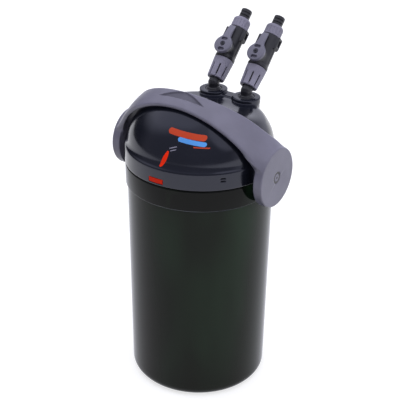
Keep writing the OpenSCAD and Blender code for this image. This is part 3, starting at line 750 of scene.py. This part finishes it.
def body_field(x, y, z):
    r = np.sqrt(x * x + y * y)
    ax = np.abs(x)
    barrel = rod(r + 0.018 * (z - 33), z, 11.6, 31, 71, 1.2)
    foot = rod(r, z, 12, 30.3, 33.6, 0.8)
    body = smooth_min(barrel, foot, 1.0)
    body = np.minimum(body, rod(r, z, 9.5, 12, 31, 0.4))
    body = np.minimum(body, rod(r, z, 8.5, 70, 80, 0.4))
    stem = np.sqrt(x * x + (z - STEM) ** 2)
    body = smooth_min(body, rod(stem, -y, 9.4, 0, STEM_FACE, 0.8), 2.5)
    lug = block(ax - 10.5, y, z - 63.2, (3.6, 4.2, 7.6), 0.8)
    lug = smooth_max(lug, (ax - 14) * 0.8 - (z - 57.5) * 0.6, 0.6)
    body = smooth_min(body, lug, 1.0)
    body = smooth_max(body, -block(ax - 13.6, y, z - 64, (1.6, 2.4, 3.6), 0.4), 0.5)
    rib = block(ax - 11.1, y, z - 46, (0.9, 0.7, 9), 0.4)
    body = smooth_min(body, rib, 0.6)
    body = np.maximum(body, 5 - r)
    cross = np.maximum(stem - 7.1, np.maximum(y - 9, -y - 30))
    return np.maximum(body, -cross)


def lever_field(x, y, z):
    """x across, y along the arm from the stem's centre, z out from the tap's boss."""
    r = np.sqrt(x * x + y * y)
    taper = 4.4 + np.clip((17 - y) / 17, 0, 1) ** 2 * 5.0
    arm = smooth_max(np.abs(x) - taper, slab(y, 0, LEVER_REACH), 1.6)
    outline = smooth_min(r - LEVER_R, arm, 2.0)
    crown = 4.9 - 0.006 * r * r
    body = smooth_max(outline, slab(z, 0, 1e3), 0.6)
    body = smooth_max(body, z - crown, 1.3)
    for s in (-1, 1):
        oval = np.sqrt((np.maximum(np.abs(x + 0.6 * s) - 2.2, 0)) ** 2 + (y - 6.6 * s) ** 2) - 1.8
        body = smooth_max(body, -np.maximum(oval, 1.4 - z), 0.4)
    body = smooth_max(body, -np.maximum(r - 3.1, 3.7 - z), 0.4)
    return np.maximum(body, 1.25 - r)


def cap_field(x, y, z):
    r = np.sqrt(x * x + y * y)
    body = rod(r, z, 10.4, 71.3, 85.2, 0.9)
    body = smooth_max(body, (r - 8.5) * 0.75 + (z - 85.0) * 0.66, 1.0)
    turn = np.arctan2(y, x)
    ribs = np.cos(turn * 16)
    groove = np.maximum(np.maximum(9.9 - r, (0.72 - ribs) * 3), slab(z, 72.5, 80.5))
    body = smooth_max(body, -groove, 0.3)
    hole = np.minimum(np.maximum(r - 8.6, z - 82.8), r - 6.9)
    return smooth_max(body, -hole, 0.4)


def elbow_field(x, y, z):
    """In the row frame, about the elbow's centre."""
    r = np.sqrt(x * x + y * y)
    along = (y + z) * math.sqrt(0.5)
    side = np.sqrt(x * x + ((y - z) * math.sqrt(0.5)) ** 2)
    top = SOCKET_TOP - 0.2 - ELBOW_Z
    pipe = smooth_min(rod(side, along, PIPE_R, -1, 9.5, 0.4), rod(r, z, PIPE_R, -20, 0.5, 0.4), 1.2)
    ball = np.sqrt(x * x + y * y + z * z) - PIPE_R - 0.15
    pipe = smooth_min(pipe, ball, 1.0)
    flange = rod(side, along, 8.2, 9, 11.8, 0.4)
    shank = rod(r, z, SHANK_R, -25.4, top, 0.5)
    collar = rod(r, z, 7.6, top - 1, top + 1.5, 0.8)
    body = smooth_min(smooth_min(pipe, collar, 1.5), shank, 0.8)
    body = np.minimum(body, flange)
    body = smooth_max(body, -np.maximum(6.9 - r, slab(z, -20.7, -18.1)), 0.2)
    bore = np.minimum(np.maximum(side - 4.5, -along - 2), np.maximum(r - 4.5, z))
    return np.maximum(body, -bore)


def nozzle_profile():
    lip, groove = NOZZLE_R, NOZZLE_GROOVE_R
    outside = [(8, 80), (8, 82.4), (6.2, 82.5), (6.2, 85.3), (lip, 85.5)]
    for z in (88.0, 92.0):
        outside += [(lip, z - 0.2), (groove, z + 0.1), (groove, z + 1.0), (lip, z + 1.3)]
    outside += [(lip, 96.1)] + arc(lip - 0.9, 96.3, 0.9, 0, 90, 5)
    return outside + arc(4.9, 96.8, 0.4, 90, 180, 3) + [(4.5, 80)]


def make_taps():
    nut = moulded(nut_field, (-13, -13, 4), (13, 13, 31), 0.45)
    shell = moulded(body_field, (-15.5, -15, 11), (15.5, 13.5, 81), 0.5)
    lever = moulded(lever_field, (-12, -12, -1), (12, 30, 6), 0.4)
    cap = moulded(cap_field, (-11.5, -11.5, 70), (11.5, 11.5, 86), 0.42)
    elbow = moulded(elbow_field, (-10, -10, -27), (10, 16, 15), 0.42)
    nozzle = lathe(nozzle_profile(), 64)
    out = Matrix.Translation((0, -STEM_FACE - 0.3, STEM)) @ Matrix.Rotation(math.radians(90), 4, "X")
    for side, word in ((-1, "left"), (1, "right")):
        here = tap_matrix(side)
        centre = Matrix.Translation((side * TAP_X, TAP_Y, ELBOW_Z))
        for kind, body, slot, node, (points, faces), place, sharp in (
            ("union", "union", "grey_plastic", "union_nut", nut, here, None),
            ("tap_case", "tap", "black_satin", "tap_body", shell, here, None),
            ("lever", "lever", "grey_plastic", "tap_lever", lever, here @ out, None),
            ("cap", "cap", "grey_plastic", "cap_nut", cap, here, None),
            ("swivel", "tap", "black_satin", "elbow", elbow, centre, None),
            ("nozzle", "tap", "black_satin", "hose_nozzle", nozzle, here, 35),
        ):
            o = mesh_object(f"{kind}_{word}_piece", placed(points, place), faces, sharp)
            look = STREAKED if kind in ("union", "cap") else None
            finish_piece(o, f"{body}_{word}", slot, f"{node}_{word}", look)


# ---------------------------------------------------------------- media

def media_hole(x, y):
    """How far a point is outside the duct of the intake tube, which passes through every basket."""
    return np.sqrt((x - TAP_X) ** 2 + (y - TAP_Y) ** 2) - DUCT_R


def make_ceramic():
    """Short fired tubes tipped loosely into the lower basket."""
    rng = random.Random(7)
    outer, bore, half = 6.6, 3.9, 6.6
    profile = arc(outer - 0.6, half - 0.6, 0.6, 0, 90, 2) + arc(bore + 0.6, half - 0.6, 0.6, 90, 180, 2)
    profile += [(r, -z) for r, z in reversed(profile)]
    ring, ring_faces = lathe(profile, 20)
    points, faces = [], []
    floor, levels, pitch = 14 + 8.5, 4, 13.6
    for level in range(levels):
        for i in range(-6, 7):
            for j in range(-6, 7):
                x = pitch * (i + 0.5 * (j % 2)) + rng.uniform(-1.4, 1.4)
                y = pitch * 0.87 * j + rng.uniform(-1.4, 1.4)
                tilt, spin = rng.uniform(20, 90), rng.uniform(0, 360)
                if math.hypot(x, y) > MEDIA_R - 8.6 or media_hole(x, y) < 8.8:
                    continue
                z = floor + level * 13.2 + rng.uniform(-0.8, 0.8)
                m = Matrix.Translation((x, y, z)) @ Matrix.Rotation(math.radians(spin), 4, "Z")
                m = m @ Matrix.Rotation(math.radians(tilt), 4, "X")
                faces += [[v + len(points) for v in f] for f in ring_faces]
                points += placed(ring, m).tolist()
    tubes = mesh_object("ceramic_tubes", points, faces, 50)
    finish_piece(tubes, "basket_lower_set", "media_ceramic", "ceramic_media")


def sponge_field(x, y, z):
    """A coarse sponge disc: soft edges, a slightly hollow top and a ragged cut surface."""
    r = np.sqrt(x * x + y * y)
    ragged = 0.35 * np.sin(0.9 * x + 1.3 * np.sin(0.5 * y)) * np.sin(0.8 * y + 0.7 * z)
    side = smooth_max(r - MEDIA_R + 0.6, -(media_hole(x, y) - 0.6), 2)
    top = SPONGE_Z[1] - 1.4 + 0.9 * (r / MEDIA_R) ** 2
    return smooth_max(side, slab(z, SPONGE_Z[0] + 0.5, top), 4) + ragged


def fleece_field(x, y, z):
    """Three fleece discs laid on each other, each a little slack at its rim."""
    r = np.sqrt(x * x + y * y)
    turn = np.arctan2(y, x)
    body = None
    thick = (FLEECE_Z[1] - FLEECE_Z[0]) / 3
    for k in range(3):
        low = FLEECE_Z[0] + k * thick
        sag = 0.8 * np.sin(3 * turn + 2.1 * k) * (r / MEDIA_R) ** 2
        sag = sag + 0.3 * np.sin(0.21 * x + k) * np.sin(0.19 * y)
        rim = MEDIA_R - 1.2 + 0.5 * np.sin(5 * turn + k)
        pad = smooth_max(r - rim, slab(z - sag, low + 1.0, low + thick - 0.4), 5.5)
        body = pad if body is None else smooth_min(body, pad, 0.6)
    return smooth_max(body, -(media_hole(x, y) - 0.5), 2)


def make_media():
    make_ceramic()
    reach = MEDIA_R + 1
    for name, field, (low, high), body, slot, node, fill in (
        ("sponge_disc", sponge_field, SPONGE_Z, "basket_middle_set", "sponge_blue", "coarse_sponge", 0.9),
        ("fleece_stack", fleece_field, FLEECE_Z, "basket_upper_set", "pad_white", "fine_pad", 0.7),
    ):
        points, faces = moulded(field, (-reach, -reach, low - 2), (reach, reach, high + 2), 1.6)
        pad = mesh_object(name, points, faces)
        finish_piece(pad, body, slot, node)


# ---------------------------------------------------------------- stage, light and camera

# The studio walls: direction, angle from it where the wall starts to show, angle within which it is full,
# and how much it adds to the ambient level. The sum is held between 0 and 1.
LOBES = [
    ((-0.3, 0.95, -0.05), 55, 15, 0.65),
    ((0.825, 0.566, 0.1), 50, 20, 0.5),
    ((-0.5, 0.1, 0.86), 50, 20, 1.0),
    ((0.1, -0.1, 1.0), 42, 10, 0.45),
    ((-0.97, 0.15, 0.05), 42, 12, -0.22),
    ((0.64, -0.05, 0.76), 26, 8, 2.0),
]
AMBIENT = 0.25
WORLD_TINT = (0.97, 0.98, 1.12)

# Name, place, the point it faces, size and power
LIGHTS = [
    ("overhead", (0, 0.6, 4.0), (0, 0.6, 0), (6.0, 6.0), 85),
    ("front", (1.2, -3.0, 2.2), (0, 0, 0.25), (2.0, 1.6), 30),
    ("right", (3.0, 0.4, 0.9), (0, 0, 0.25), (2.4, 2.0), 20),
]

CAMERA_PLACE, CAMERA_LENS = (0.6186, -0.9017, 0.7827), 94.99
CAMERA_TURN, CAMERA_DROP, CAMERA_ROLL = 34.45, 27.134, 0.71


def make_stage():
    bpy.ops.mesh.primitive_plane_add(size=14, location=(0, 0, -0.0005))
    floor = bpy.context.object
    floor.name = "floor"
    m = Nodes("floor")
    m.to("Base Color", m.colours(m.noise(3, 2), [(0.3, (0.49, 0.49, 0.49)), (0.7, (0.51, 0.51, 0.51))]))
    m.set(Roughness=0.9, Specular_IOR_Level=0.0, Emission_Color=(1, 1, 1, 1), Emission_Strength=0.64)
    floor.data.materials.append(m.material)
    floor.visible_diffuse = False


def make_world():
    """A dim studio with soft bright walls behind, to the right and above, and a dark one on the left."""
    world = bpy.data.worlds.new("studio")
    bpy.context.scene.world = world
    world.use_nodes = True
    tree = world.node_tree
    back = tree.nodes["Background"]
    place = tree.nodes.new("ShaderNodeTexCoord").outputs["Generated"]
    total = None
    for direction, start, full, level in LOBES:
        dot = tree.nodes.new("ShaderNodeVectorMath")
        dot.operation = "DOT_PRODUCT"
        dot.inputs[1].default_value = Vector(direction).normalized()
        tree.links.new(place, dot.inputs[0])
        fade = tree.nodes.new("ShaderNodeMapRange")
        fade.interpolation_type = "SMOOTHSTEP"
        ends = (math.cos(math.radians(start)), math.cos(math.radians(full)), 0.0, level)
        for key, value in zip(("From Min", "From Max", "To Min", "To Max"), ends):
            fade.inputs[key].default_value = value
        tree.links.new(dot.outputs["Value"], fade.inputs["Value"])
        add = tree.nodes.new("ShaderNodeMath")
        add.operation = "ADD"
        add.inputs[1].default_value = AMBIENT
        if total is not None:
            tree.links.new(total, add.inputs[1])
        tree.links.new(fade.outputs["Result"], add.inputs[0])
        total = add.outputs[0]
    tint = tree.nodes.new("ShaderNodeMix")
    tint.data_type = "RGBA"
    tint.inputs["A"].default_value = (0, 0, 0, 1)
    tint.inputs["B"].default_value = (*WORLD_TINT, 1)
    tree.links.new(total, tint.inputs["Factor"])
    tree.links.new(tint.outputs["Result"], back.inputs["Color"])


def area_light(name, place, aim, size, power):
    """A soft light that the glossy surfaces don't mirror."""
    data = bpy.data.lights.new(name, "AREA")
    data.shape = "RECTANGLE"
    data.size, data.size_y = size
    data.energy = power
    o = bpy.data.objects.new(name, data)
    bpy.context.scene.collection.objects.link(o)
    o.visible_glossy = False
    o.location = place
    o.rotation_euler = (Vector(aim) - Vector(place)).to_track_quat("-Z", "Y").to_euler()


def make_camera():
    turn, drop, roll = (math.radians(a) for a in (CAMERA_TURN, CAMERA_DROP, CAMERA_ROLL))
    forward = Vector((-math.sin(turn) * math.cos(drop), math.cos(turn) * math.cos(drop), -math.sin(drop)))
    right = Vector((math.cos(turn), math.sin(turn), 0))
    up = right.cross(forward)
    right, up = right * math.cos(roll) + up * math.sin(roll), up * math.cos(roll) - right * math.sin(roll)
    data = bpy.data.cameras.new("camera")
    data.sensor_width = 36
    data.lens = CAMERA_LENS
    data.clip_end = 50
    camera = bpy.data.objects.new("camera", data)
    bpy.context.scene.collection.objects.link(camera)
    facing = Matrix((right, up, -forward)).transposed().to_4x4()
    camera.matrix_world = Matrix.Translation(CAMERA_PLACE) @ facing
    bpy.context.scene.camera = camera


make_tub()
make_head()
make_handle()
make_pivot_caps()
make_prints()
make_taps()
make_media()
make_stage()
make_world()
for light in LIGHTS:
    area_light(*light)
make_camera()
bpy.context.scene.view_settings.view_transform = "Standard"
